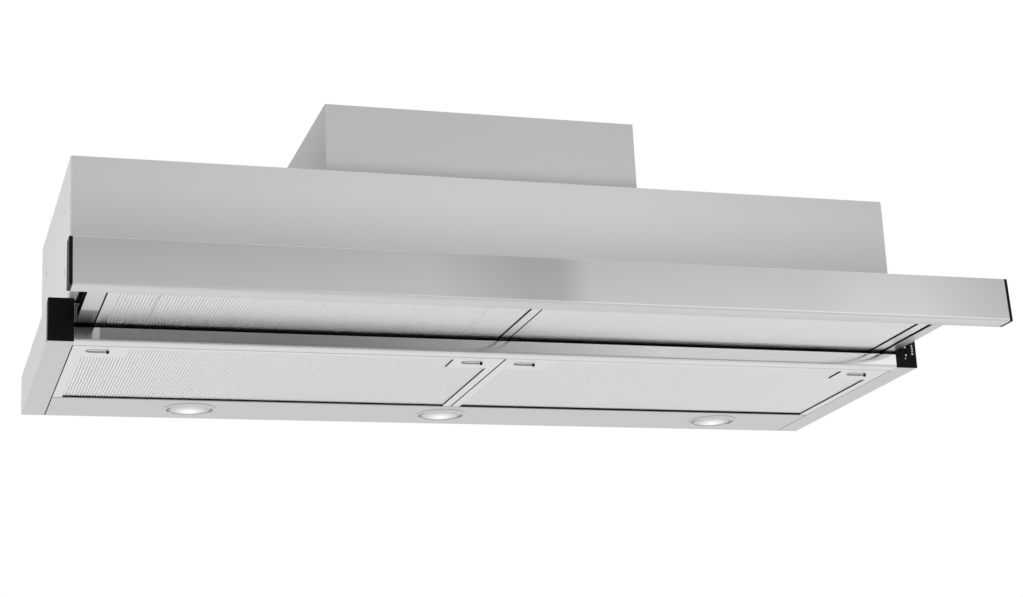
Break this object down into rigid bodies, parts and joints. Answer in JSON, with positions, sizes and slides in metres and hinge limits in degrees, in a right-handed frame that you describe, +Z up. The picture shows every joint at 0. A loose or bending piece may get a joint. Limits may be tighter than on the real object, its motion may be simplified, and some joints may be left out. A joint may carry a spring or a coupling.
{
  "type": "pull-out range hood",
  "caption": "Slim cooker hood for a wall cabinet: a low tray with filters and lamps, a front panel that slides out with its own filters, and a blower with a round duct outlet on top.",
  "frame": {"origin": "under the middle of the whole hood's bounding box, visor drawn out, level with its lowest edge", "axes": "+X to the right as seen from the front, -Y towards the front panel, +Z up"},
  "size_m": [0.898, 0.4985, 0.3091],
  "materials": {
    "casing_paint": "smooth light grey powder coat on sheet steel",
    "brushed_steel": "stainless steel brushed along its length",
    "bright_steel": "polished stainless steel",
    "filter_frame": "folded satin aluminium sheet",
    "filter_mesh": "layers of expanded aluminium mesh",
    "black_plastic": "moulded, fine texture",
    "grey_plastic": "moulded, fine texture",
    "motor_casing": "dark varnish on laminations and end bells",
    "zinc_plate": "zinc plated steel",
    "capacitor_can": "drawn can",
    "lamp_bezel": "satin ring",
    "lamp_lens": "frosted, lets the lamp's light through",
    "circuit_board": "coated glass fibre",
    "plunger_red": "moulded"
  },
  "bodies": {
    "casing": {"body_front": "casing_paint", "body_side_left": "casing_paint", "body_side_right": "casing_paint", "body_back": "casing_paint", "body_top": "casing_paint", "motor_box": "casing_paint", "outlet_collar": "black_plastic", "scroll_left": "grey_plastic", "scroll_right": "grey_plastic", "motor": "motor_casing", "motor_bracket": "zinc_plate", "capacitor": "capacitor_can", "electronics_box": "grey_plastic", "cable_gland": "black_plastic", "case_screws": "zinc_plate", "tray_side_left": "brushed_steel", "tray_side_right": "brushed_steel", "tray_front_rail": "bright_steel", "lamp_tray": "brushed_steel", "end_cap_left": "black_plastic", "control_housing": "black_plastic", "switch_board": "circuit_board", "lamp_bezels": "lamp_bezel", "lamp_lenses": "lamp_lens", "lamp_housings": "zinc_plate", "microswitch": "black_plastic", "slide_outer_left": "zinc_plate", "slide_outer_right": "zinc_plate"},
    "visor": {"visor_fascia": "brushed_steel", "fascia_cap_left": "black_plastic", "fascia_cap_right": "black_plastic", "visor_front_bar": "brushed_steel", "visor_top_plate": "brushed_steel", "visor_side_left": "brushed_steel", "visor_side_right": "brushed_steel", "visor_rear_bar": "brushed_steel", "slide_inner_left": "zinc_plate", "slide_inner_right": "zinc_plate"},
    "cages": {"ball_cages": "zinc_plate"},
    "upper_filter_left": {"visor_filter_left": "filter_frame", "visor_mesh_left": "filter_mesh"},
    "upper_filter_right": {"visor_filter_right": "filter_frame", "visor_mesh_right": "filter_mesh"},
    "upper_latches_left": {"visor_latches_left": "bright_steel"},
    "upper_latches_right": {"visor_latches_right": "bright_steel"},
    "lower_filter_left": {"filter_left": "filter_frame", "filter_mesh_left": "filter_mesh"},
    "lower_filter_right": {"filter_right": "filter_frame", "filter_mesh_right": "filter_mesh"},
    "latch_1": {"latch_left_outer": "bright_steel"},
    "latch_2": {"latch_left_inner": "bright_steel"},
    "latch_3": {"latch_right_inner": "bright_steel"},
    "latch_4": {"latch_right_outer": "bright_steel"},
    "fan_button": {"fan_slider": "black_plastic"},
    "lamp_button": {"lamp_slider": "black_plastic"},
    "plunger": {"switch_plunger": "plunger_red"},
    "fan_wheel": {"impeller": "black_plastic", "motor_shaft": "zinc_plate"},
    "flap_left": {"damper_flap_left": "grey_plastic"},
    "flap_right": {"damper_flap_right": "grey_plastic"}
  },
  "joints": [
    {"name": "visor_slide", "type": "slide", "parent": "casing", "child": "visor", "axis": [0, -1, 0], "range_m": [-0.1705, 0]},
    {"name": "cage_slide", "type": "slide", "parent": "casing", "child": "cages", "axis": [0, -1, 0], "range_m": [-0.08525, 0]},
    {"name": "upper_filter_left_hinge", "type": "hinge", "parent": "visor", "child": "upper_filter_left", "pos_m": [0, -0.0457, 0.0206], "axis": [1, 0, 0], "range_deg": [0, 15]},
    {"name": "upper_filter_right_hinge", "type": "hinge", "parent": "visor", "child": "upper_filter_right", "pos_m": [0, -0.0457, 0.0206], "axis": [1, 0, 0], "range_deg": [0, 15]},
    {"name": "upper_latches_left_slide", "type": "slide", "parent": "upper_filter_left", "child": "upper_latches_left", "axis": [0, 1, 0], "range_m": [0, 0.004], "stiffness_N_per_m": 500, "springref_m": -0.003},
    {"name": "upper_latches_right_slide", "type": "slide", "parent": "upper_filter_right", "child": "upper_latches_right", "axis": [0, 1, 0], "range_m": [0, 0.004], "stiffness_N_per_m": 500, "springref_m": -0.003},
    {"name": "lower_filter_left_hinge", "type": "hinge", "parent": "casing", "child": "lower_filter_left", "pos_m": [0, 0.1668, 0.0031], "axis": [1, 0, 0], "range_deg": [0, 75]},
    {"name": "lower_filter_right_hinge", "type": "hinge", "parent": "casing", "child": "lower_filter_right", "pos_m": [0, 0.1668, 0.0031], "axis": [1, 0, 0], "range_deg": [0, 75]},
    {"name": "latch_1_slide", "type": "slide", "parent": "lower_filter_left", "child": "latch_1", "axis": [0, 1, 0], "range_m": [0, 0.004], "stiffness_N_per_m": 500, "springref_m": -0.003},
    {"name": "latch_2_slide", "type": "slide", "parent": "lower_filter_left", "child": "latch_2", "axis": [0, 1, 0], "range_m": [0, 0.004], "stiffness_N_per_m": 500, "springref_m": -0.003},
    {"name": "latch_3_slide", "type": "slide", "parent": "lower_filter_right", "child": "latch_3", "axis": [0, 1, 0], "range_m": [0, 0.004], "stiffness_N_per_m": 500, "springref_m": -0.003},
    {"name": "latch_4_slide", "type": "slide", "parent": "lower_filter_right", "child": "latch_4", "axis": [0, 1, 0], "range_m": [0, 0.004], "stiffness_N_per_m": 500, "springref_m": -0.003},
    {"name": "fan_slider_slide", "type": "slide", "parent": "casing", "child": "fan_button", "axis": [0, 0, 1], "range_m": [0, 0.0111]},
    {"name": "lamp_slider_slide", "type": "slide", "parent": "casing", "child": "lamp_button", "axis": [0, 0, 1], "range_m": [0, 0.009]},
    {"name": "plunger_slide", "type": "slide", "parent": "casing", "child": "plunger", "axis": [0, 1, 0], "range_m": [0, 0.0015], "stiffness_N_per_m": 300, "springref_m": -0.002},
    {"name": "fan_spin", "type": "hinge", "parent": "casing", "child": "fan_wheel", "pos_m": [0, 0.1103, 0.1611], "axis": [1, 0, 0], "continuous": true},
    {"name": "flap_left_hinge", "type": "hinge", "parent": "casing", "child": "flap_left", "pos_m": [-0.003, 0.1603, 0.2851], "axis": [0, 1, 0], "range_deg": [0, 80]},
    {"name": "flap_right_hinge", "type": "hinge", "parent": "casing", "child": "flap_right", "pos_m": [0.003, 0.1603, 0.2851], "axis": [0, -1, 0], "range_deg": [0, 80]}
  ],
  "couplings": [
    {"joint": "cage_slide", "follows": "visor_slide", "ratio": 0.5}
  ]
}
